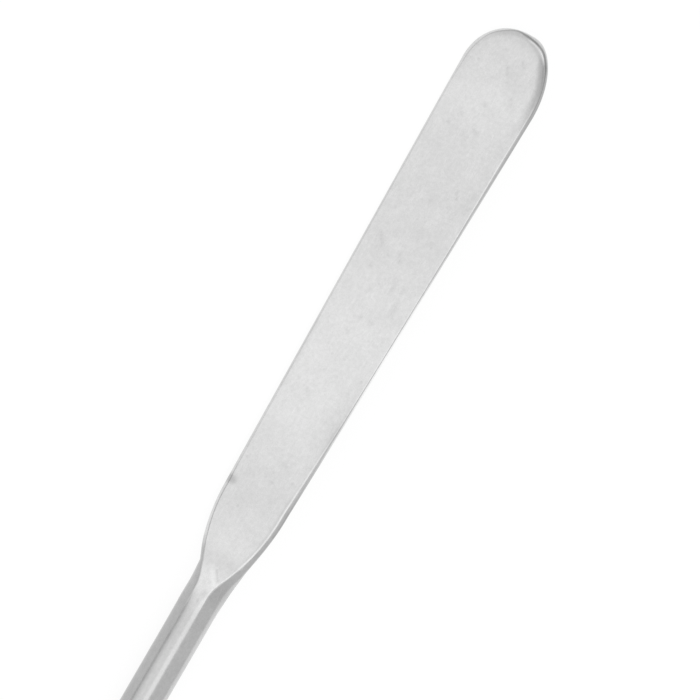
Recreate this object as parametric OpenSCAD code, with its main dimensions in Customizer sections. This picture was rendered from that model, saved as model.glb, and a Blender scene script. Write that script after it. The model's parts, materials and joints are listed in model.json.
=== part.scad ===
// Lab spatula: a round steel rod, forged flat at one end into a thin blade.
// It lies on a surface as it comes to rest, rolled over on to one edge of the blade.
// The blade points towards -X and the plain end of the rod towards +X.

/* [Rod] */
// Diameter of the round rod
rod_d = 4; // [3:0.1:6]
// Length of the round rod, from the end of the neck to the plain end
rod_len = 85; // [60:1:240]
// Radius on the edge of the rod's plain end
end_round = 1.2; // [0.3:0.1:1.4]

/* [Blade] */
// Length of the blade, from its tip to the start of the shoulders
blade_len = 52.6; // [30:0.2:90]
// Width that the straight edges run out to at the tip, before the tip is rounded
tip_w = 9.4; // [8:0.1:14]
// Width of the blade at the shoulders
root_w = 7.2; // [6.4:0.1:12]
// Thickness of the blade at the tip
tip_t = 0.75; // [0.5:0.05:1.2]
// Thickness of the blade at the shoulders
root_t = 1; // [0.6:0.05:1.6]
// Length of the rounded tip along the left edge
tip_len_left = 5.6; // [4:0.1:12]
// Length of the rounded tip along the right edge, which was ground a little longer
tip_len_right = 7.3; // [4:0.1:12]
// Width of the rounded border beside the flat along most of the blade
edge_w = 0.22; // [0.1:0.02:0.5]
// Width of the rounded border beside the flat at the shoulders
root_edge_w = 0.41; // [0.2:0.01:0.8]

/* [Neck] */
// Length of the neck, from the shoulders to the full round of the rod
neck_len = 12.4; // [8:0.2:24]
// Depth of the blade's face below the top of the rod at the shoulders
face_drop = 0.1; // [0.05:0.05:0.6]
// How far the blade's face falls from the shoulders to the tip
face_fall = 0.8; // [0:0.05:1.2]
// How far the sides of the neck bulge below the middle of the rod
neck_sag = 0.45; // [0:0.05:0.6]

/* [Dent] */
// Distance of the dent from the tip, as a share of the blade's length
dent_at = 0.99; // [0.1:0.01:1]
// Distance from the left edge of the blade to the middle of the dent
dent_in = 0.55; // [0.4:0.05:2]
// Radius of what made the dent
dent_r = 0.9; // [0.5:0.1:2]
// Depth of the dent
dent_depth = 0.12; // [0.05:0.01:0.2]

/* [Hidden] */

rod_r = rod_d / 2;
overall_len = blade_len + neck_len + rod_len;
tip_len = max(tip_len_left, tip_len_right);
root_face = rod_r - face_drop;
tip_face = root_face - face_fall;

// Where the loft ends inside the rod, and how much smaller it is there than the rod
SEAT_LEN = 1;
SEAT_SCALE = 0.995;
// The flat runs out in a tongue over this share of the neck
TONGUE = 0.96;
// The underside ramps up to the blade between these shares of the neck
RAMP = [0.2, 1];
// The widest line of the sides climbs to the blade between these shares of the neck
CLIMB = [0.36, 0.7];
// Powers of the curve that draws the width in from the shoulders to the rod
DRAW_IN = [2.6, 4.2];
// Power of the curve that narrows the tongue towards its point
NARROW = 2.3;
// Segments in a quarter of a section, and steps along the tip, the blade and the neck
QUARTER = 8;
TIP_STEPS = 20;
BLADE_STEPS = 14;
NECK_STEPS = 26;
// The flat is never narrower than this share of the whole width
LEAST_FLAT = 0.02;

function mix(a, b, t) = a + (b - a) * t;
function ease(t) = let (c = min(1, max(0, t))) c * c * (3 - 2 * c);

// Everything below is a function of s, the distance from the tip.
function neck_share(s) = min(1, max(0, (s - blade_len) / neck_len));

// 0 at the tip, 1 where its rounding ends
function tip_round(s, reach) = sqrt(1 - pow(1 - min(1, max(0, s / reach)), 2));

function straight_edge(s) = mix(tip_w, root_w, min(1, s / blade_len)) / 2;

function half_width(s, reach) =
    s < blade_len
        ? straight_edge(s) * tip_round(s, reach)
        : mix(rod_r, root_w / 2, pow(1 - pow(neck_share(s), DRAW_IN[0]), DRAW_IN[1]));

function border(s) = mix(edge_w, root_edge_w, pow(min(1, s / blade_len), 8));

// Half width of the flat, as a share of the section's half width
function flat_share(s, reach) =
    let (b = border(s),
         blade_flat = straight_edge(s) * tip_round(s - b, reach - b) - b,
         neck_flat = (1 - root_edge_w / (root_w / 2))
             * sqrt(1 - pow(min(1, neck_share(s) / TONGUE), NARROW)))
    max(LEAST_FLAT, s < blade_len ? blade_flat / half_width(s, reach) : neck_flat);

// 0 at the tip's nose, 1 where the nose has its full thickness
function nose(s) =
    let (b = border(s))
    s < b ? tip_round(s, 3 * b) / tip_round(b, 3 * b) : 1;

function thickness(s) = mix(tip_t, root_t, min(1, s / blade_len));

function face_height(s) =
    s < blade_len
        ? mix(tip_face, root_face, s / blade_len)
        : rod_r - face_drop * (1 - pow(neck_share(s), 8));

function blade_middle(s) = face_height(s) - thickness(s) / 2;

function top_z(s) = mix(blade_middle(s), face_height(s), nose(s));

function ramp(s) = ease((RAMP[1] - neck_share(s)) / (RAMP[1] - RAMP[0]));

function bottom_z(s) =
    let (blade_bottom = blade_middle(s) - nose(s) * thickness(s) / 2)
    mix(-rod_r, blade_bottom, ramp(s));

function widest_z(s) =
    let (climb = ease((CLIMB[1] - neck_share(s)) / (CLIMB[1] - CLIMB[0])),
         sag = neck_sag * ease((1 - neck_share(s)) / (1 - CLIMB[1])))
    mix(-sag, blade_middle(s), climb);

// One side of a section, from the edge of the flat on top to that of the flat below:
// two quarters of an ellipse, cut off where they meet the flats.
function side_points(s, reach, side) =
    let (w = half_width(s, reach),
         flat = flat_share(s, reach),
         cut = asin(flat),
         cut_below = asin(mix(LEAST_FLAT, flat, ease(2.5 * ramp(s)))),
         mid = widest_z(s),
         up = (top_z(s) - mid) / cos(cut),
         down = (mid - bottom_z(s)) / cos(cut_below))
    concat(
        [for (i = [0 : QUARTER])
            let (turn = mix(cut, 90, i / QUARTER))
            [side * w * sin(turn), mid + up * cos(turn)]],
        [for (i = [1 : QUARTER])
            let (turn = mix(90, cut_below, i / QUARTER))
            [side * w * sin(turn), mid - down * cos(turn)]]);

function reversed(list) = [for (i = [len(list) - 1 : -1 : 0]) list[i]];

function section(s) = concat(
    side_points(s, tip_len_right, 1),
    reversed(side_points(s, tip_len_left, -1)));

neck_end = blade_len + neck_len;
stations = concat(
    [for (i = [1 : TIP_STEPS]) tip_len * (1 - cos(90 * i / TIP_STEPS))],
    [for (i = [1 : BLADE_STEPS]) mix(tip_len, blade_len, i / BLADE_STEPS)],
    [for (i = [1 : NECK_STEPS - 1]) mix(blade_len, neck_end, i / NECK_STEPS)]);

// The loft's points, level: x along the rod, y to the right of the blade, z out of its face
level_rings = concat(
    [for (s = stations) [for (p = section(s)) [s, p.x, p.y]]],
    [for (s = [neck_end, neck_end + SEAT_LEN])
        [for (p = section(s)) [s, SEAT_SCALE * p.x, SEAT_SCALE * p.y]]]);
level_points = [for (ring = level_rings) each ring];

// The roll at which the blade's edge comes down to the surface that the rod lies on
function lowest(roll) = min([for (p = level_points) p.y * sin(roll) + p.z * cos(roll)]);
function find_roll(low, high, tries) =
    let (middle = (low + high) / 2)
    tries == 0
        ? middle
        : lowest(middle) < -rod_r - 0.0001
            ? find_roll(low, middle, tries - 1)
            : find_roll(middle, high, tries - 1);
rest_roll = find_roll(0, 80, 20);

function across(p) = p.y * cos(rest_roll) - p.z * sin(rest_roll);
reaches_y = concat([-rod_r, rod_r], [for (p = level_points) across(p)]);
middle_y = (min(reaches_y) + max(reaches_y)) / 2;

module loft(rings) {
    n = len(rings[0]);
    last = len(rings) - 1;
    faces = concat(
        [[for (i = [n - 1 : -1 : 0]) i]],
        [for (k = [0 : last - 1], i = [0 : n - 1])
            let (j = (i + 1) % n)
            each [[k * n + i, (k + 1) * n + j, (k + 1) * n + i],
                  [k * n + i, k * n + j, (k + 1) * n + j]]],
        [[for (i = [0 : n - 1]) last * n + i]]);
    polyhedron([for (ring = rings) each ring], faces);
}

// The round rod, from the neck to its rounded plain end
module rod() {
    round_steps = 12;
    profile = concat(
        [[0, 0], [rod_r, 0]],
        [for (i = [0 : round_steps])
            let (turn = 90 * i / round_steps)
            [rod_r - end_round * (1 - cos(turn)), rod_len - end_round * (1 - sin(turn))]],
        [[0, rod_len]]);
    translate([neck_end, 0, 0])
        rotate([0, 90, 0])
            rotate_extrude($fn = 96)
                polygon(profile);
}

module dent() {
    s = dent_at * blade_len;
    translate([s, dent_in - straight_edge(s), face_height(s) + dent_r - dent_depth])
        sphere(r = dent_r, $fn = 48);
}

// One piece of steel: rod, neck and blade, laid down as it comes to rest
module spatula() {
    color("silver")
        translate([-overall_len / 2, -middle_y, rod_r])
            rotate([rest_roll, 0, 0])
                difference() {
                    union() {
                        rod();
                        loft(level_rings);
                    }
                    dent();
                }
}

spatula();
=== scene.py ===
import json
from math import asin, atan2, cos, degrees, hypot, pi, radians, sin, tan

import bmesh
import bpy
from mathutils import Matrix, Vector


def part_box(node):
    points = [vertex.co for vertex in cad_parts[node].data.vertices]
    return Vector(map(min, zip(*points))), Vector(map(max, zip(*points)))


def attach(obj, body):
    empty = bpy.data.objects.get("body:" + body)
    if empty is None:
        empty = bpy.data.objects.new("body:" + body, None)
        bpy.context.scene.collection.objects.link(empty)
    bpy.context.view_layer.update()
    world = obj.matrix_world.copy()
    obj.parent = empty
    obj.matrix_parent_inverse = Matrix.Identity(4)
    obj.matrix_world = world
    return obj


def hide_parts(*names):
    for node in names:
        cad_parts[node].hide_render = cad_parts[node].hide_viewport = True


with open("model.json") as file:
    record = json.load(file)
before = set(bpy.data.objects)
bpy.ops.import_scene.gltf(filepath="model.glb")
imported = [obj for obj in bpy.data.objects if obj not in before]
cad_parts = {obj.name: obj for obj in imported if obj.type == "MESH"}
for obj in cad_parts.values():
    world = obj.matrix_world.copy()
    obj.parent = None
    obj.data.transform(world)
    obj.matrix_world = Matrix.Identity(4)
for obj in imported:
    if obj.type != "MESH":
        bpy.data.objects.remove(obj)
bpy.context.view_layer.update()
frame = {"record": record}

bpy.ops.object.select_all(action="DESELECT")

# ---------------------------------------------------------------- The spatula
# One length of 4 mm round stainless rod, forged flat at one end and then tumbled.
# Its plain end is cut square and well rounded, and the other end is its narrow blade.
# Sizes are in millimetres, and places along the steel are counted from the tip.
MM = 0.001
BLADE_LEN = 52.6
NECK_LEN = 12.4
ROD_LEN = 85.0
NECK_END = BLADE_LEN + NECK_LEN
LENGTH = NECK_END + ROD_LEN

# The rod
ROD_R = 2.0
ROD_END_ROUND = 1.2
ROD_END_STEPS = 14
ROD_STEPS = 24
GATHER_LEN = 9.0

# Points round one ring: the face, two sides, and the underside. A side goes from the flat of
# the face over its crease and down its flank to the widest line, and back in underneath.
FACE_STEPS = 44
CREASE_STEPS = 5
FLANK_STEPS = 9
BACK_STEPS = 16
WIDEST_PLACE = CREASE_STEPS + FLANK_STEPS
SIDE_STEPS = 2 * WIDEST_PLACE
RING = FACE_STEPS + BACK_STEPS + 2 * SIDE_STEPS
LEFT, RIGHT = -1, 1


def mix(a, b, t):
    return a + (b - a) * t


def ease(t):
    t = min(1.0, max(0.0, t))
    return t * t * (3 - 2 * t)


def rise(value, start, full):
    """0 before start and 1 beyond full, with a smooth rise between. Either may be the larger."""
    return ease((value - start) / (full - start))


def along(s, *stations):
    """A value that changes smoothly from station to station, each a (place, value)."""
    before = stations[0]
    if s < before[0]:
        return before[1]
    for after in stations[1:]:
        if s < after[0]:
            return mix(before[1], after[1], rise(s, before[0], after[0]))
        before = after
    return before[1]


bpy.ops.mesh.primitive_circle_add(
    vertices=RING, radius=ROD_R * MM, fill_type="NGON", location=(0, 0, 0))
spatula = bpy.context.object
spatula.name = "spatula_steel"
spatula.data.name = "spatula_steel"
bpy.ops.object.mode_set(mode="EDIT")
bpy.ops.mesh.select_all(action="SELECT")
steel = bmesh.from_edit_mesh(spatula.data)
place = steel.verts.layers.int.new("place")
for vertex in steel.verts:
    vertex[place] = vertex.index


def lay_ring(points):
    """Lays the newest ring on one section of the steel, each vertex on the point of its place."""
    steel = bmesh.from_edit_mesh(spatula.data)
    place = steel.verts.layers.int["place"]
    steel.verts.ensure_lookup_table()
    for vertex in steel.verts[-RING:]:
        vertex.co = Vector(points[vertex[place]]) * MM
    bmesh.update_edit_mesh(spatula.data, loop_triangles=False, destructive=False)


# The neck and the blade. The sides spread from the rod to the shoulders while the face is
# pressed flat, and the flat runs back over the rod in a tongue. The blade thins and widens
# towards its round tip, whose rim is ground to a slope and worn away on the right.
TIP_HALF, ROOT_HALF = {LEFT: 4.65, RIGHT: 4.71}, 3.55
RIGHT_BOW = 0.04
TIP_T, ROOT_T = 0.75, 1.0
ROOT_FACE = ROD_R - 0.1
TIP_FACE = ROOT_FACE - 0.8
# The neck: the share of it over which its left side spreads, how its right side spreads, the
# slight bulge at its left, how far its widest line sags, and over which shares it climbs
LEFT_SPREAD_END = 0.63
RIGHT_SPREAD_POWER, RIGHT_SPREAD_CLOSE = 2.15, 2.5
RIGHT_TUCK, TUCK_FROM, TUCK_TO = 0.62, 0.62, 0.82
LEFT_BULGE = 0.05
NECK_SAG = 0.45
CLIMB = {LEFT: (0.85, 0.43), RIGHT: (0.85, 0.5)}
# The tongue: half its width at the rod, where it starts to turn round with the rod's top,
# and how its two sides close in
TONGUE = 0.8
TONGUE_ROUNDS_AT = 60.5
TONGUE_CURVE = {LEFT: (2.28, 1.84), RIGHT: (2.3, 1.6)}
# The narrow edge beside the flat, and the least flat left under the neck
TIP_EDGE_W, ROOT_EDGE_W = 0.22, 0.41
LEAST_FLAT = 0.05
LOW_ROUNDING = 0.28
# The tip: where its nose is, how deep its round is on each side, and the slope ground on its
# rim, as its width from place to place across, starting at the left
NOSE_AT = 0.36
REACH = {LEFT: 4.95, RIGHT: 7.5}
TIP_BEVEL = ((-4.4, 0.42), (-3.4, 0.30), (-2.6, 0.30), (-1.0, 0.12), (-0.1, 0.26), (0.9, 0.40),
             (1.3, 0.40), (2.6, 0.20), (4.1, 0.22))
# On the left it fades out along the steel, and on the right towards the edge
BEVEL_FADES = {LEFT: (9, 3), RIGHT: (4.1, 2.0)}
BEVEL_LEAN = 0.95
BEVEL_LIP_RIGHT, BEVEL_LIP_LEFT = 0.10, 0.32


def blade_share(s):
    """0 at the tip and 1 at the shoulders."""
    return min(1.0, s / BLADE_LEN)


def neck_share(s):
    """0 at the shoulders and 1 at the rod."""
    return min(1.0, max(0.0, (s - BLADE_LEN) / NECK_LEN))


def straight_edge(s, side):
    bow = RIGHT_BOW * sin(pi * blade_share(s)) if side == RIGHT else 0
    return mix(TIP_HALF[side], ROOT_HALF, blade_share(s)) + bow


def left_bulge(s):
    """How far the left side stands out where the neck runs into the rod."""
    return LEFT_BULGE * rise(s, 59.5, 61.5) * rise(s, 67, 63)


def neck_width(u, side):
    """Half width. The left side runs straight into the rod, and the right in a curve."""
    if side == LEFT:
        spread = 1 - (u / LEFT_SPREAD_END) ** 2 if u < LEFT_SPREAD_END else 0
        return mix(ROD_R, ROOT_HALF, spread) + left_bulge(BLADE_LEN + u * NECK_LEN)
    spread = (1 - u ** RIGHT_SPREAD_POWER) ** RIGHT_SPREAD_CLOSE
    spread *= mix(1, RIGHT_TUCK, rise(u, TUCK_FROM, TUCK_TO))
    return mix(ROD_R, ROOT_HALF, spread)


def half_width(s, side):
    return straight_edge(s, side) if s < BLADE_LEN else neck_width(neck_share(s), side)


def face_height(s):
    return mix(TIP_FACE, ROOT_FACE, blade_share(s))


def thickness(s):
    return mix(TIP_T, ROOT_T, blade_share(s))


def crown(s):
    """How far the tongue has turned from a flat to the round top of the rod."""
    return rise(s, TONGUE_ROUNDS_AT, NECK_END)


def pressed(s):
    """How far the underside has been pressed up, from 0 at the rod to 1 on the blade."""
    return rise(neck_share(s), 1, 0.2)


def back_height(s):
    return mix(-ROD_R, face_height(s) - thickness(s), pressed(s))


def widest_height(s, side):
    u = neck_share(s)
    sag = NECK_SAG * rise(u, 1, 0.7)
    return mix(-sag, face_height(s) - thickness(s) / 2, rise(u, *CLIMB[side]))


def tip_bevel(rim, side):
    """1 where the rim is ground to a slope, 0 where it keeps its plain edge."""
    if rim[0] > BLADE_LEN / 2:
        return 0
    return rise(rim[0] if side == LEFT else abs(rim[1]), *BEVEL_FADES[side])


def border(s, side):
    """Width of the edge beside the flat of the face, on the blade."""
    if side == LEFT:
        return mix(TIP_EDGE_W, ROOT_EDGE_W, blade_share(s) ** 8)
    return along(s, (0.6, TIP_EDGE_W), (5, 0.28), (10.5, 0.28), (17.5, 0.14), (24, 0.11),
                 (36, 0.08), (42, 0.10), (48.5, 0.20), (BLADE_LEN, ROOT_EDGE_W))


def flat_share(s, side):
    """Share of the half width that the flat of the face takes up."""
    if s < BLADE_LEN:
        return 1 - border(s, side) / straight_edge(s, side)
    u = neck_share(s)
    power, close = TONGUE_CURVE[side]
    flat = (ROOT_HALF - ROOT_EDGE_W) * (1 - u ** power) ** close
    return (flat ** 5 + TONGUE ** 5) ** 0.2 / neck_width(u, side)


def crease_rounding(rim, side):
    """How far each way the crease beside the flat is rounded over."""
    s, y = rim
    if s < 6:
        return mix(0.3, 0.6, rise(y, -0.8, 0.4))
    if side == RIGHT:
        return along(s, (14, 0.6), (20, 0.4), (42, 0.4), (50, 0.8), (60, 0.8), (65, 0.15))
    return along(s, (4, 0.3), (50, 0.4), (60, 0.4), (65, 0.15))


def conic(start, corner, end, weight, t):
    a, b, c = (1 - t) ** 2, 2 * weight * t * (1 - t), t * t
    return Vector((a * p + b * q + c * r) / (a + b + c)
                  for p, q, r in zip(start, corner, end))


def flank(corner, widest, share, lean, rounding):
    """Points from the flat over its rounded crease down to the widest line."""
    corner, widest = Vector(corner), Vector(widest)
    knee = Vector((widest.x, widest.y, mix(corner.z, widest.z, lean)))
    outward = Vector((widest.x - corner.x, widest.y - corner.y, 0))
    slope = atan2(abs(corner.z - knee.z), outward.length)
    weight = cos((pi / 2 - asin(share)) / 2)
    trim = rounding * tan(slope / 2)
    cut = min(0.4, trim / (2 * weight * (corner - knee).length))
    begin = conic(corner, knee, widest, weight, cut)
    inner = corner - outward.normalized() * trim
    points = [conic(inner, corner, begin, 1, i / CREASE_STEPS) for i in range(CREASE_STEPS)]
    points += [conic(corner, knee, widest, weight, mix(cut, 1, i / FLANK_STEPS))
               for i in range(FLANK_STEPS)]
    return points


def side_curve(rim, inward, side):
    """One side of a ring: its points, its corner underneath, and its widest line's height."""
    s, y = rim
    on_blade = s < BLADE_LEN
    share = flat_share(s, side)
    share_low = mix(LEAST_FLAT, share, ease(2.5 * pressed(s)))
    wide = border(s, side) if on_blade else (1 - share) * abs(y)
    wide_low = wide if on_blade else (1 - share_low) * abs(y)
    lean = share / (1 + share)
    if side == RIGHT:
        lean = mix(lean, 0.15, rise(s, 14, 26) * rise(s, 50, 40))
    top, mid, low = face_height(s), widest_height(s, side), back_height(s)
    if crown(s) > 0:
        top = mix(top, (ROD_R ** 2 - (share * y) ** 2) ** 0.5, crown(s))
    bevel = tip_bevel(rim, side)
    wide = mix(wide, along(y, *TIP_BEVEL), bevel)
    lip = mix(BEVEL_LIP_RIGHT, BEVEL_LIP_LEFT, rise(y, 0, -2.5))
    mid = mix(mid, low + lip, bevel)
    lean = mix(lean, BEVEL_LEAN, bevel)
    at_top = (s + inward[0] * wide, y + inward[1] * wide, top)
    at_low = (s + inward[0] * wide_low, y + inward[1] * wide_low, low)
    widest = (s, y, mid)
    over = flank(at_top, widest, share, lean, crease_rounding(rim, side))
    low_rounding = LOW_ROUNDING if on_blade else min(LOW_ROUNDING, abs(at_low[1]))
    under = flank(at_low, widest, share_low, share_low / (1 + share_low), low_rounding)
    return over + [Vector(widest)] + under[:0:-1], under[0], mid


# Small falls of the face below its flat: the worn right side of the tip, the nose,
# and one dent at the left edge close to the shoulder
WORN_FROM, WORN_TO, WORN_DEEP = 1.3, 10.2, 0.07
NOSE_LEN, NOSE_DEEP = 2, 0.05
DENT_AT, DENT_IN, DENT_LEN, DENT_WIDE, DENT_DEEP = 52.15, 0.25, 0.36, 0.60, 0.07
DENT_FADE = 1.6


def rim_distance(x, y, side):
    """About how far a point near the tip is from the rim."""
    half = straight_edge(x, side)
    beyond = max(0, REACH[side] + NOSE_AT - x)
    share = (y / half) ** 2 + (beyond / REACH[side]) ** 2
    steep = 2 * hypot(y / half ** 2, beyond / REACH[side] ** 2)
    return max(0, 1 - share) / max(0.05, steep)


def wear(x, y):
    """How worn the tip is at a point: 1 at the middle of its right side, 0 away from it."""
    if x > WORN_TO or y < 0:
        return 0
    wide = along(x, (2, 0.4), (3, 0.8), (5, 0.8), (7, 1.2))
    inside = max(0, rim_distance(x, y, RIGHT) - 0.3)
    lengthwise = rise(x, WORN_FROM, 2.7) * rise(x, WORN_TO, 4.2)
    return lengthwise * max(0, 1 - inside / wide) ** 1.4


def face_fall(point):
    x, y = point[0], point[1]
    fall = WORN_DEEP * wear(x, y) ** 2
    if x < NOSE_LEN:
        fall += NOSE_DEEP * (1 - x / NOSE_LEN) ** 2
    if y < 0 and abs(x - DENT_AT) < DENT_FADE * DENT_LEN:
        deepest = -straight_edge(DENT_AT, LEFT) + DENT_IN
        away = hypot((x - DENT_AT) / DENT_LEN, (y - deepest) / DENT_WIDE)
        fall += DENT_DEEP * rise(away, DENT_FADE, 0)
    return fall


def ring_points(halves):
    """One whole ring, from the right of the face round under the blade and back."""
    (right, right_low, right_mid), (left, left_low, left_mid) = halves
    across = [(1 - cos(pi * i / FACE_STEPS)) / 2 for i in range(FACE_STEPS)]
    face = [left[0].lerp(right[0], t) for t in across]
    back = [right_low.lerp(left_low, i / BACK_STEPS) for i in range(BACK_STEPS)]
    top = left[0].z
    s = (left[0].x + right[0].x) / 2
    if s > TONGUE_ROUNDS_AT:
        flat = abs(right[CREASE_STEPS - 1].y)
        for point in right[:CREASE_STEPS] + left[:CREASE_STEPS] + face:
            bulge = (ROD_R ** 2 - point.y ** 2) ** 0.5 - (ROD_R ** 2 - flat ** 2) ** 0.5
            point.z += crown(s) * max(0, bulge)
        top = ROD_R + 1
    for points, mid in ((right, right_mid), (left, left_mid), (face, 0)):
        for point in points:
            lift = (point.z - mid) / (top - mid)
            if lift > 0:
                point.z -= face_fall(point) * min(1, lift)
    return right + back + [left_low] + left[:0:-1] + face


# The end disc grows out to the rod's full width over its rounding. Further on, the points
# gather to where the neck needs them.
neck_end = [side_curve((NECK_END, side * neck_width(1, side)), (0, -side), side)
            for side in (RIGHT, LEFT)]
neck_turns = [atan2(point.y, point.z) % (2 * pi) for point in ring_points(neck_end)]


def round_section(s, radius, gather):
    """A round section. Its points gather to the neck's places as gather goes to 1."""
    swell = left_bulge(s)
    points = []
    for at in range(RING):
        even = ((at - FACE_STEPS) % RING - FACE_STEPS / 2) * 2 * pi / RING
        near = neck_turns[at]
        if near - even > pi:
            near -= 2 * pi
        elif near - even < -pi:
            near += 2 * pi
        turn = mix(even, near, gather)
        points.append((s, radius * sin(turn) - swell * max(0, -sin(turn)) ** 4,
                       radius * cos(turn)))
    return points


lay_ring(round_section(LENGTH, ROD_R - ROD_END_ROUND, 0))
for step in range(1, ROD_END_STEPS + 1):
    turn = pi / 2 * step / ROD_END_STEPS
    bpy.ops.mesh.extrude_region_move()
    lay_ring(round_section(LENGTH - ROD_END_ROUND * (1 - cos(turn)),
                           ROD_R - ROD_END_ROUND * (1 - sin(turn)), 0))
for step in range(ROD_STEPS + 1):
    share = step / ROD_STEPS
    bpy.ops.mesh.extrude_region_move()
    lay_ring(round_section(NECK_END + GATHER_LEN * (1 - share), ROD_R, ease(share)))

# The outline from the neck's end round to the middle of the tip, one side at a time.
# Both sides meet a little to the left of the nose.
NECK_STEPS = 110
BLADE_STEPS = 190
TIP_STEPS = 60
MEETING_TURN = 0.16
TIP_FROM = {LEFT: NOSE_AT + REACH[LEFT], RIGHT: REACH[RIGHT]}
TIP_POWER = {LEFT: 1.015, RIGHT: 1}


def tip_rim(turn, side):
    """A point of the tip's rim, from a quarter turn at the end of its side to 0 at the nose."""
    s = REACH[side] * (1 - cos(turn)) ** TIP_POWER[side]
    half = straight_edge(s, side) * sin(turn)
    return (hypot(s, NOSE_AT) if side == RIGHT else s + NOSE_AT, side * half)


def outline(side):
    points = []
    for i in range(1, NECK_STEPS + 1):
        s = mix(NECK_END, BLADE_LEN, i / NECK_STEPS)
        points.append((s, side * neck_width(neck_share(s), side)))
    for i in range(1, BLADE_STEPS + 1):
        s = mix(BLADE_LEN, TIP_FROM[side], i / BLADE_STEPS)
        points.append((s, side * straight_edge(s, side)))
    for i in range(1, TIP_STEPS + 1):
        turn = mix(pi / 2, -side * MEETING_TURN, i / TIP_STEPS)
        points.append(tip_rim(turn, side) if turn > 0 else tip_rim(-turn, LEFT))
    return points


def inward_of(points, i, side):
    """Direction from the outline towards the inside, seen from above."""
    if i == len(points) - 1:
        (x0, y0), (x1, y1) = (tip_rim(MEETING_TURN + step, LEFT) for step in (0.01, -0.01))
        side = LEFT
    elif points[i][0] >= BLADE_LEN:
        return (0, -side)
    else:
        (x0, y0), (x1, y1) = points[i - 1], points[i + 1]
    size = hypot(x1 - x0, y1 - y0)
    return (side * (y0 - y1) / size, side * (x1 - x0) / size)


rims = {side: outline(side) for side in (LEFT, RIGHT)}
for i in range(NECK_STEPS + BLADE_STEPS + TIP_STEPS):
    halves = [side_curve(rims[side][i], inward_of(rims[side], i, side), side)
              for side in (RIGHT, LEFT)]
    bpy.ops.mesh.extrude_region_move()
    lay_ring(ring_points(halves))

# The two halves of the last ring lie on each other, so its own face goes and they are merged
bpy.ops.mesh.delete(type="ONLY_FACE")
bpy.ops.mesh.select_all(action="SELECT")
bpy.ops.mesh.remove_doubles(threshold=2e-7)
bpy.ops.mesh.normals_make_consistent(inside=False)
bpy.ops.object.mode_set(mode="OBJECT")

# How bright each place is painted. The face is brightest and the rod duller; on top of that the
# left of the rod, the creases, the dent, the worn tip and the flanks carry painted shade, and the
# right crease and flanks painted highlights
FACE_FROM = RING - FACE_STEPS
LEFT_WIDEST = FACE_FROM - WIDEST_PLACE
CREASE_SHADE_AT = 4
ROD_BRIGHT, ROD_LEFT_PAINTED_SHADE = 0.85, 0.17
BACK_BRIGHT = 0.9
WEAR_AND_SHADE_DARKER = 0.46
DENT_SHADE_Y, DENT_SHADE_LEN, DENT_SHADE_WIDE, DENT_PAINTED_SHADE = -3.45, 0.7, 1.3, 0.26
# Stains and scratches on the face, with the broad soft ones near its edges painted shade: from
# (s, y) to (s, y), half width, and how much darker. Below zero is a painted highlight, a bright
# streak where the tongue starts.
MARKS = (
    (2.80, -1.00, 2.82, -0.98, 0.13, 0.10),
    (3.0, 1.05, 3.5, 1.30, 0.12, 0.10),
    (4.1, -0.15, 4.9, 0.35, 0.12, 0.12),
    (5.8, -0.90, 5.9, -0.80, 0.15, 0.08),
    (7.40, 2.20, 7.60, 2.50, 0.45, 0.06),
    (9.0, 3.70, 11.5, 3.80, 0.55, 0.05),
    (8.4, -0.20, 8.5, 0.00, 0.16, 0.12),
    (9.60, -0.80, 9.90, -0.30, 0.25, 0.05),
    (10.2, -1.70, 10.3, -1.60, 0.16, 0.14),
    (11.1, 0.15, 11.3, 0.70, 0.14, 0.10),
    (11.6, -2.40, 11.7, -2.30, 0.16, 0.10),
    (17.1, 1.85, 17.8, 2.15, 0.12, 0.10),
    (16.8, 3.55, 18.2, 3.50, 0.40, 0.04),
    (19.0, 0.10, 19.2, 0.20, 0.16, 0.08),
    (21.8, 0.70, 23.1, 0.80, 0.25, 0.05),
    (24.2, -2.65, 25.2, -1.85, 0.13, 0.10),
    (25.0, 0.10, 25.8, 0.35, 0.14, 0.10),
    (27.4, -1.95, 27.5, -1.90, 0.20, 0.09),
    (27.4, 1.00, 28.9, 1.30, 0.16, 0.08),
    (28.0, 2.25, 28.1, 2.25, 0.20, 0.09),
    (29.2, 2.35, 30.7, 2.35, 0.20, 0.08),
    (29.5, -0.70, 29.6, -0.65, 0.22, 0.07),
    (31.2, 1.20, 31.4, 2.80, 0.70, 0.02),
    (32.2, -0.10, 32.3, -0.05, 0.18, 0.10),
    (32.2, 0.95, 32.4, 1.20, 0.22, 0.08),
    (34.0, -0.65, 34.2, -0.45, 0.16, 0.08),
    (40.9, -1.10, 41.2, -0.80, 0.14, 0.10),
    (48.4, 0.80, 48.5, 1.00, 0.18, 0.10),
    (34.5, -3.90, 41.5, -3.70, 0.40, 0.09),
    (38.5, 3.40, 45.0, 3.40, 1.00, 0.06),
    (42.9, 3.50, 44.4, 3.40, 0.50, 0.05),
    (60.43, -0.32, 61.80, 0.66, 0.26, -0.09),
    (60.48, 0.20, 61.40, 0.85, 0.09, 0.13),
    (63.05, 0.30, 63.20, 0.70, 0.28, 0.09),
    (63.95, 0.05, 64.02, 0.10, 0.12, 0.18),
)


def rod_tone_and_shade(angle):
    """Rod tone, duller than the face, with painted shade down its left side. The angle is from
    the top of the rod, in degrees, with its left side below zero.
    """
    return ROD_BRIGHT - ROD_LEFT_PAINTED_SHADE * rise(angle, -2, -18) * rise(angle, -125, -95)


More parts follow.
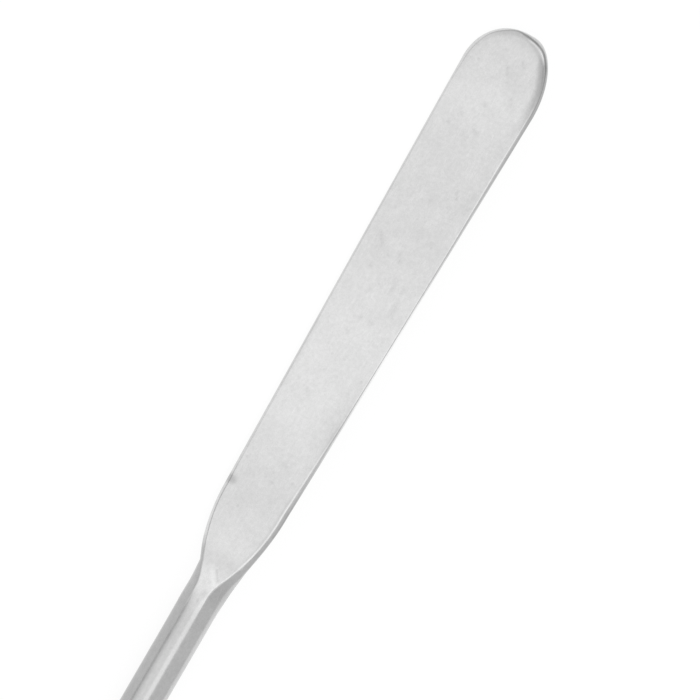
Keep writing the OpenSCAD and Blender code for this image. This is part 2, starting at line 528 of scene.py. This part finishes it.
def face_tone_and_shade(s, y):
    # Brightness along the face: uneven tone, with painted shade and highlight where the face
    # bends into the neck
    tone = along(s, (4.5, 0.96), (8, 1.02), (14.5, 0.965), (24, 0.97), (33, 1.04), (44, 1.04),
                 (48, 1.0), (52, 0.955), (55, 0.975), (58, 1.02), (59.5, 0.95), (61.5, 1.06),
                 (65, 1.0))
    # Painted shade towards the rim of the tip, strongest at the nose
    if s < 8:
        side = LEFT if y < 0 else RIGHT
        shade = along(rim_distance(s, y, side), (0.2, 0.28), (0.5, 0.22), (1.0, 0.08), (2.2, 0))
        tone *= 1 - shade * along(s, (1, 1), (3, 0.35), (8, 0.1))
    # Painted shade in a band just inside the right edge
    if y > 0 and 38 < s < 60:
        inside = flat_share(s, RIGHT) * half_width(s, RIGHT) - y
        shade = along(s, (39, 0), (43.5, 0.17), (47, 0.13), (53, 0.17), (58, 0.12), (60, 0))
        tone *= 1 - shade * rise(inside, 0.45, 0) * rise(inside, -0.05, 0.15)
    # Stains and scratches, with painted shade and a painted highlight among them
    for s0, y0, s1, y1, wide, darker in MARKS:
        run = Vector((s1 - s0, y1 - y0))
        t = min(1, max(0, Vector((s - s0, y - y0)).dot(run) / run.length_squared))
        away = hypot(s - s0 - run.x * t, y - y0 - run.y * t)
        if away < 2 * wide:
            tone *= 1 - darker * rise(away, 2 * wide, 0)
    return tone


def right_flank_painted_light(s, y, down):
    # Painted highlight and shade on the right flank, darker towards its widest line
    outer = rise(down, 7, 10)
    tone = along(s, (14, 0.85), (18, 0.92), (22, 0.92), (34, 1.35), (38, 1.25), (43.7, 1.0),
                 (47, 0.87), (60, 0.84), (62.5, 0.76), (64.5, 0.83))
    tone = mix(tone, 1.0, tip_bevel((s, y), RIGHT) * outer)
    return tone * (1 - outer * along(s, (5, 0), (7, 0.12), (12, 0.12), (15, 0), (44, 0),
                                     (48, 0.2), (53.5, 0.2), (56, 0.08), (58, 0)))


def left_flank_painted_light(s, rod):
    # Painted shade and highlight on the left flank, darkest where the neck runs into the rod
    return along(s, (6, 1.0), (12, 0.95), (48, 0.95), (53, 1.0), (57.5, 1.05), (59.8, 0.68),
                 (62, 0.68), (64, rod))


def left_crease_shade(s, y):
    """How dark the painted shade along the left crease is: at the neck, at the tip and between.
    """
    return max(
        along(s, (49, 0), (53, 0.31), (57, 0.30), (59.5, 0.22), (63, 0.25), (66, 0)),
        0.11 * rise(s, 7, 4) + 0.28 * rise(y, -1.2, -0.1) * rise(s, 2, 1),
        0.06 * rise(s, 15, 20) * rise(s, 50, 46))


def right_crease_shade(s, y):
    """How dark the painted shade along the rim of the tip is, to the right of the nose."""
    return tip_bevel((s, y), RIGHT) * along(
        y, (0, 0.38), (1.2, 0.42), (1.8, 0.22), (2.4, 0.30), (2.9, 0.12))


def right_highlight(s, y, down):
    """Painted highlight on the right crease beside the flat, most of all at the tip, dimmed to
    painted shade in places.
    """
    tone = 1
    if 1 <= down <= 3:
        tone = along(s, (7, 1.0), (9.7, 0.92), (13, 1.0), (44, 1.0), (49, 1.02), (52.5, 1.07),
                     (56.5, 0.96), (59, 1.04), (60.3, 0.97), (61.5, 0.92), (63.3, 0.86),
                     (64.5, 1.0))
    if 1 <= down <= 2 and s < 3.2:
        tone *= 1 + 0.24 * down * rise(y, 0.1, 0.7) * rise(y, 3.1, 2.5)
    return tone


def tone_and_shade_at(s, y, z, at):
    """Tone painted at a point, of which at is its place round the ring: uneven finish with
    painted shade and highlights. The widest line on the left is given the face's tone."""
    rod = rod_tone_and_shade(degrees(atan2(y, z)))
    if s > NECK_END + 3:
        return rod
    on_right = at < RING / 2
    down = at if on_right else FACE_FROM - at
    if down < CREASE_STEPS or at == LEFT_WIDEST:
        # The worn tip is darker: its wear, and painted shade of its slope
        tone = face_tone_and_shade(s, y) * (1 - WEAR_AND_SHADE_DARKER * wear(s, y) ** 0.8)
    elif on_right:
        tone = right_flank_painted_light(s, y, down)
    else:
        tone = left_flank_painted_light(s, rod)
    if down > WIDEST_PLACE:
        tone = mix(tone, BACK_BRIGHT, rise(down, WIDEST_PLACE, WIDEST_PLACE + 6))
    # Painted shade along the creases
    if abs(down - CREASE_SHADE_AT) <= 1:
        line = right_crease_shade(s, y) if on_right else left_crease_shade(s, y)
        tone *= 1 - line * (1 if down == CREASE_SHADE_AT else 0.6)
    if on_right:
        tone *= right_highlight(s, y, down)
    # Painted shade in and around the dent
    away = hypot((s - DENT_AT) / DENT_SHADE_LEN, (y - DENT_SHADE_Y) / DENT_SHADE_WIDE)
    dent = ease(1.5 - 1.5 * away)
    return mix(tone, rod, rise(s, 62, 66.5)) * (1 - DENT_PAINTED_SHADE * dent)


# Each vertex keeps its tone, painted shade and painted highlights included, for the steel's
# material
finish_and_shade = spatula.data.attributes.new("finish_and_shade", "FLOAT", "POINT")
places = spatula.data.attributes["place"].data
for vertex in spatula.data.vertices:
    s, y, z = vertex.co / MM
    finish_and_shade.data[vertex.index].value = tone_and_shade_at(s, y, z, places[vertex.index].value)

# It lies on its side, on the rod and on the left edge of the blade. It has rolled until
# that edge is as low as the rod.
grip = frame["record"]["mounts"][0]["pos_m"]
tip_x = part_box("spatula")[1][0] - LENGTH * MM
left_edge = [(v.co.y, v.co.z) for v in spatula.data.vertices
             if v.co.x < BLADE_LEN * MM and v.co.y < 0]


def sinks(roll):
    return any(y * sin(roll) + z * cos(roll) < -ROD_R * MM for y, z in left_edge)


roll, too_far = radians(20), radians(50)
while too_far - roll > 1e-6:
    middle_roll = (roll + too_far) / 2
    roll, too_far = (roll, middle_roll) if sinks(middle_roll) else (middle_roll, too_far)
spatula.data.transform(Matrix.Translation((tip_x, grip[1], grip[2]))
                       @ Matrix.Rotation(roll, 4, "X"))
lowest = min(v.co.z for v in spatula.data.vertices)
spatula.data.transform(Matrix.Translation((0, 0, -lowest)))
bpy.ops.object.shade_smooth()

# Tumbled stainless steel: a fine grain, cloudy patches, faint scratches running across the
# blade at a slant, and a few dark specks. The patterns are sized in millimetres.
STEEL = 0.675
GRAIN, PATCHES, CLOUDS = 9.0, 2.6, 0.45
SPECK_CELLS = 1.1
SCRATCH_SLANT = radians(55)
SCRATCH_ALONG, SCRATCH_ACROSS = 0.8, 8.0
SCRATCH_BRIGHT, SPECK_DARK = 1.035, 0.92
SMOOTHEST, ROUGHEST = 0.17, 0.23
BUMP_STRENGTH, BUMP_DEEP = 0.5, 0.004
finish = bpy.data.materials.new("tumbled_steel")
finish.use_nodes = True
nodes, links = finish.node_tree.nodes, finish.node_tree.links
shader = nodes["Principled BSDF"]
shader.inputs["Metallic"].default_value = 1
coordinates = nodes.new("ShaderNodeTexCoord")
unrolled = nodes.new("ShaderNodeMapping")
unrolled.vector_type = "POINT"
unrolled.inputs["Rotation"].default_value = (-roll, 0, 0)
unrolled.inputs["Scale"].default_value = (1 / MM, 1 / MM, 1 / MM)
links.new(coordinates.outputs["Object"], unrolled.inputs["Vector"])
surface = unrolled.outputs["Vector"]


def noise(scale, detail, vector):
    texture = nodes.new("ShaderNodeTexNoise")
    texture.inputs["Scale"].default_value = scale
    texture.inputs["Detail"].default_value = detail
    links.new(vector, texture.inputs["Vector"])
    return texture.outputs["Fac"]


def arithmetic(operation, *values):
    node = nodes.new("ShaderNodeMath")
    node.operation = operation
    for socket, value in zip(node.inputs, values):
        if isinstance(value, (int, float)):
            socket.default_value = value
        else:
            links.new(value, socket)
    return node.outputs[0]


def ramp_to(value, low, high, to_low, to_high):
    node = nodes.new("ShaderNodeMapRange")
    node.inputs["From Min"].default_value = low
    node.inputs["From Max"].default_value = high
    node.inputs["To Min"].default_value = to_low
    node.inputs["To Max"].default_value = to_high
    links.new(value, node.inputs["Value"])
    return node.outputs[0]


grain = noise(GRAIN, 2.0, surface)
patches = noise(PATCHES, 2.0, surface)
clouds = noise(CLOUDS, 1.0, surface)
slant = nodes.new("ShaderNodeMapping")
slant.inputs["Rotation"].default_value = (0, 0, SCRATCH_SLANT)
slant.inputs["Scale"].default_value = (SCRATCH_ALONG, SCRATCH_ACROSS, SCRATCH_ALONG)
links.new(surface, slant.inputs["Vector"])
scratches = ramp_to(noise(1.0, 1.0, slant.outputs["Vector"]), 0.58, 0.70, 0, 1)
cells = nodes.new("ShaderNodeTexVoronoi")
cells.inputs["Scale"].default_value = SPECK_CELLS
links.new(surface, cells.inputs["Vector"])
cell_pick = nodes.new("ShaderNodeSeparateColor")
links.new(cells.outputs["Color"], cell_pick.inputs["Color"])
speck = arithmetic("MULTIPLY", ramp_to(cells.outputs["Distance"], 0.08, 0.22, 1, 0),
                   ramp_to(cell_pick.outputs["Red"], 0.62, 0.95, 0, 1))

# The vertex tone brings the painted shade and painted highlights into the steel's colour
attribute = nodes.new("ShaderNodeAttribute")
attribute.attribute_name = "finish_and_shade"
brightness = attribute.outputs["Fac"]
for texture, low, high in ((grain, 0.945, 1.055), (patches, 0.945, 1.055),
                           (clouds, 0.97, 1.03)):
    brightness = arithmetic("MULTIPLY", brightness, ramp_to(texture, 0.2, 0.8, low, high))
for spots, level in ((scratches, SCRATCH_BRIGHT), (speck, SPECK_DARK)):
    brightness = arithmetic("MULTIPLY", brightness, ramp_to(spots, 0, 1, 1, level))
tint = nodes.new("ShaderNodeVectorMath")
tint.operation = "SCALE"
tint.inputs[0].default_value = (STEEL, STEEL, STEEL)
links.new(brightness, tint.inputs["Scale"])
links.new(tint.outputs[0], shader.inputs["Base Color"])
roughness = ramp_to(patches, 0.25, 0.75, SMOOTHEST, ROUGHEST)
links.new(roughness, shader.inputs["Roughness"])
bump = nodes.new("ShaderNodeBump")
bump.inputs["Strength"].default_value = BUMP_STRENGTH
bump.inputs["Distance"].default_value = BUMP_DEEP * MM
links.new(patches, bump.inputs["Height"])
links.new(bump.outputs["Normal"], shader.inputs["Normal"])
spatula.data.materials.clear()
spatula.data.materials.append(finish)
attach(spatula, "root")
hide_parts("spatula")

# ---------------------------------------------------------------- Table top
# A wide sheet of matt white paper laid flat on a table, with the spatula loose on it. It
# shows white from above and in the steel, and stays dim enough to keep a faint shadow.
PAPER = 0.16
PAPER_GLOW = 0.875
PAPER_WIDE = 3
bpy.ops.mesh.primitive_plane_add(size=PAPER_WIDE, location=(0, 0, 0))
table = bpy.context.object
table.name = "table_top"
paper = bpy.data.materials.new("white_paper")
paper.use_nodes = True
nodes, links = paper.node_tree.nodes, paper.node_tree.links
shader = nodes["Principled BSDF"]
shader.inputs["Base Color"].default_value = (PAPER, PAPER, PAPER, 1)
shader.inputs["Roughness"].default_value = 1
shader.inputs["Specular IOR Level"].default_value = 0
shader.inputs["Emission Color"].default_value = (1, 1, 1, 1)
path = nodes.new("ShaderNodeLightPath").outputs
seen = arithmetic("MAXIMUM", path["Is Camera Ray"], path["Is Glossy Ray"])
seen = arithmetic("MAXIMUM", seen, path["Is Transmission Ray"])
links.new(arithmetic("MULTIPLY", seen, PAPER_GLOW), shader.inputs["Emission Strength"])
table.data.materials.append(paper)

# ---------------------------------------------------------------- Light and camera
# A white room with two long softboxes in line with the spatula, both reaching from just
# past overhead down towards its left. The camera looks down on the flat of the blade, and
# takes in the blade, the neck and the start of the rod.
ROOM_LIGHT = 0.76
SOFTBOX_AWAY = 0.6
SOFTBOX_LEN = 1.2
world = bpy.data.worlds.new("studio")
bpy.context.scene.world = world
world.use_nodes = True
world.node_tree.nodes["Background"].inputs["Color"].default_value = (1, 1, 1, 1)
world.node_tree.nodes["Background"].inputs["Strength"].default_value = ROOM_LIGHT

MIDDLE_FROM_TIP = 35.57
middle = Vector((tip_x + MIDDLE_FROM_TIP * MM, grip[1], grip[2]))
to_rod = Vector((1, 0, 0))


def softbox(name, from_deg, to_deg, radiance):
    """A long soft light over the table. Its angles are from straight up towards +Y."""
    lean = radians(from_deg + to_deg) / 2
    aim = Vector((0, sin(lean), cos(lean)))
    lamp = bpy.data.lights.new(name, "AREA")
    lamp.shape = "RECTANGLE"
    lamp.size = SOFTBOX_LEN
    lamp.size_y = 2 * SOFTBOX_AWAY * tan(radians(to_deg - from_deg) / 2)
    lamp.energy = pi * lamp.size * lamp.size_y * radiance
    box = bpy.data.objects.new(name, lamp)
    bpy.context.collection.objects.link(box)
    box.location = middle + aim * SOFTBOX_AWAY
    box.rotation_mode = "QUATERNION"
    facing = Matrix((to_rod, aim.cross(to_rod), aim)).transposed()
    box.rotation_quaternion = facing.to_quaternion()
    box.visible_camera = False


softbox("side_softbox", from_deg=-78, to_deg=1.3, radiance=0.30)
softbox("top_softbox", from_deg=-24, to_deg=1.3, radiance=0.22)

VIEW_LEAN = radians(21.3061)
VIEW_TURN = radians(30.15)
VIEW_AWAY = 0.7
VIEW_WIDE = 67.96 * MM
VIEW_TO_RIGHT = 0.279 * MM
SENSOR = 36
towards = Vector((0, -sin(VIEW_LEAN), cos(VIEW_LEAN)))
to_right = Vector((0, cos(VIEW_LEAN), sin(VIEW_LEAN)))
image_up = -cos(VIEW_TURN) * to_rod - sin(VIEW_TURN) * to_right
image_right = -sin(VIEW_TURN) * to_rod + cos(VIEW_TURN) * to_right
look_at = middle + to_right * VIEW_TO_RIGHT
camera_data = bpy.data.cameras.new("camera")
camera_data.sensor_width = SENSOR
camera_data.lens = SENSOR * VIEW_AWAY / VIEW_WIDE
camera_data.clip_start = 0.01
camera_data.clip_end = 10
camera = bpy.data.objects.new("camera", camera_data)
bpy.context.collection.objects.link(camera)
look = Matrix((image_right, image_up, towards)).transposed().to_4x4()
camera.matrix_world = Matrix.Translation(look_at + towards * VIEW_AWAY) @ look
bpy.context.scene.camera = camera
bpy.context.scene.view_settings.view_transform = "Standard"
